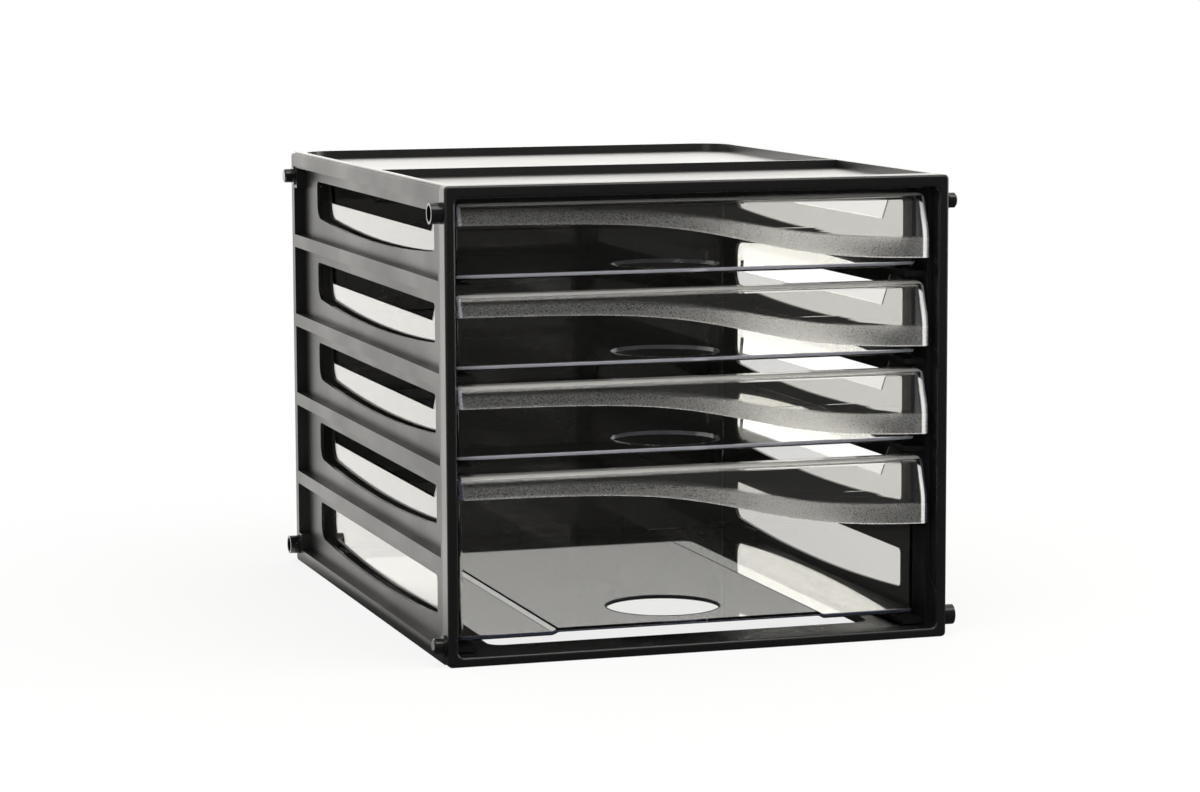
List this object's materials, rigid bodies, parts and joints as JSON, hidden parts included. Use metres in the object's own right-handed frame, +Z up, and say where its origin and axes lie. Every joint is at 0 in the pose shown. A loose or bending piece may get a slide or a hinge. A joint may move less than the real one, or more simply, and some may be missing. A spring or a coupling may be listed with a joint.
{
  "type": "drawer cabinet",
  "caption": "Desktop cabinet for papers: a black ribbed case with clear slide-out drawers that have wave-edged pulls, shallow trays on top and link pegs on its sides.",
  "frame": {"origin": "bottom centre of the case, on the surface it stands on", "axes": "+X to the right seen from the front, +Y from the front to the back, +Z up"},
  "size_m": [0.297, 0.365, 0.255],
  "materials": {
    "black_plastic": "satin gloss moulded polystyrene",
    "clear_plastic": "clear moulded polystyrene with a brushed band on the pull"
  },
  "bodies": {
    "case": {"front_frame": "black_plastic", "left_side_panel": "black_plastic", "right_side_panel": "black_plastic", "top_panel": "black_plastic", "bottom_panel": "black_plastic", "back_panel": "black_plastic", "link_plug_left_front_bottom": "black_plastic", "link_socket_left_front_top": "black_plastic", "link_socket_left_back_bottom": "black_plastic", "link_plug_left_back_top": "black_plastic", "link_socket_right_front_bottom": "black_plastic", "link_plug_right_front_top": "black_plastic", "link_plug_right_back_bottom": "black_plastic", "link_socket_right_back_top": "black_plastic"},
    "drawer_deep_body": {"drawer_deep": "clear_plastic"},
    "drawer_lower_body": {"drawer_lower": "clear_plastic"},
    "drawer_middle_body": {"drawer_middle": "clear_plastic"},
    "drawer_upper_body": {"drawer_upper": "clear_plastic"}
  },
  "joints": [
    {"name": "drawer_deep_slide", "type": "slide", "parent": "case", "child": "drawer_deep_body", "axis": [0, -1, 0], "range_m": [0, 0.25]},
    {"name": "drawer_lower_slide", "type": "slide", "parent": "case", "child": "drawer_lower_body", "axis": [0, -1, 0], "range_m": [0, 0.25]},
    {"name": "drawer_middle_slide", "type": "slide", "parent": "case", "child": "drawer_middle_body", "axis": [0, -1, 0], "range_m": [0, 0.25]},
    {"name": "drawer_upper_slide", "type": "slide", "parent": "case", "child": "drawer_upper_body", "axis": [0, -1, 0], "range_m": [0, 0.25]}
  ]
}
